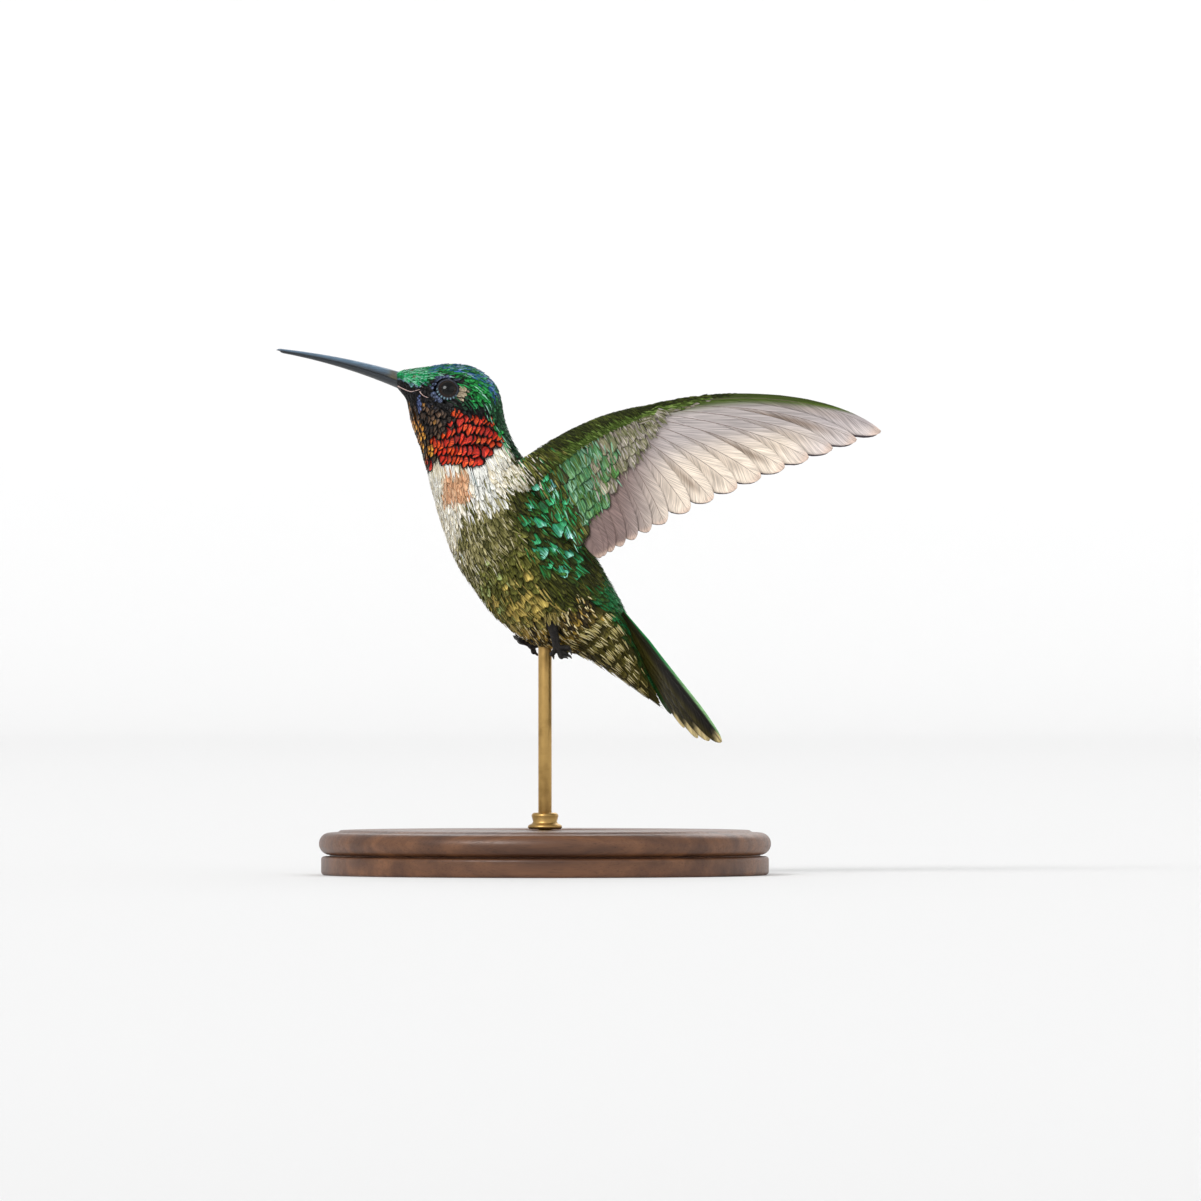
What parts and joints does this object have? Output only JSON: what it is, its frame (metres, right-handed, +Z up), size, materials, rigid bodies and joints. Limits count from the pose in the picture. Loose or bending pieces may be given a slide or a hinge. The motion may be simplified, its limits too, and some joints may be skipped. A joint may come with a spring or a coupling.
{
  "type": "ruby-throated hummingbird model on a display stand",
  "caption": "Life-size adult male ruby-throated hummingbird, hovering with its wings thrown back and tail fanned, held by a thin rod on a round wooden base.",
  "frame": {"origin": "middle of the flat underside of the stand's base, on the surface that the model stands on", "axes": "+Z up, the bird faces -X, its left side is at -Y and its right side at +Y"},
  "size_m": [0.0808, 0.06, 0.0706],
  "materials": {
    "bill_horn": "satin",
    "head_plumage": "satin",
    "gorget_plumage": "satin",
    "breast_plumage": "matte",
    "back_plumage": "satin",
    "flight_feathers": "satin",
    "tail_feathers": "satin",
    "eye": "gloss",
    "leg_skin": "matte",
    "stand_wood": "satin",
    "stand_brass": "polished"
  },
  "bodies": {
    "root": {"bill_upper": "bill_horn", "bill_lower": "bill_horn", "head": "head_plumage", "neck": "gorget_plumage", "trunk": "breast_plumage", "tail_coverts": "breast_plumage", "tail_middle": "tail_feathers", "eye_left": "eye", "wing_left_arm": "back_plumage", "wing_left_coverts": "back_plumage", "wing_left_primaries": "flight_feathers", "wing_left_secondaries": "flight_feathers", "tail_left": "tail_feathers", "leg_left": "leg_skin", "foot_left": "leg_skin", "eye_right": "eye", "wing_right_arm": "back_plumage", "wing_right_coverts": "back_plumage", "wing_right_primaries": "flight_feathers", "wing_right_secondaries": "flight_feathers", "tail_right": "tail_feathers", "leg_right": "leg_skin", "foot_right": "leg_skin", "stand_base": "stand_wood", "stand_ferrule": "stand_brass", "stand_rod": "stand_brass"}
  },
  "joints": []
}
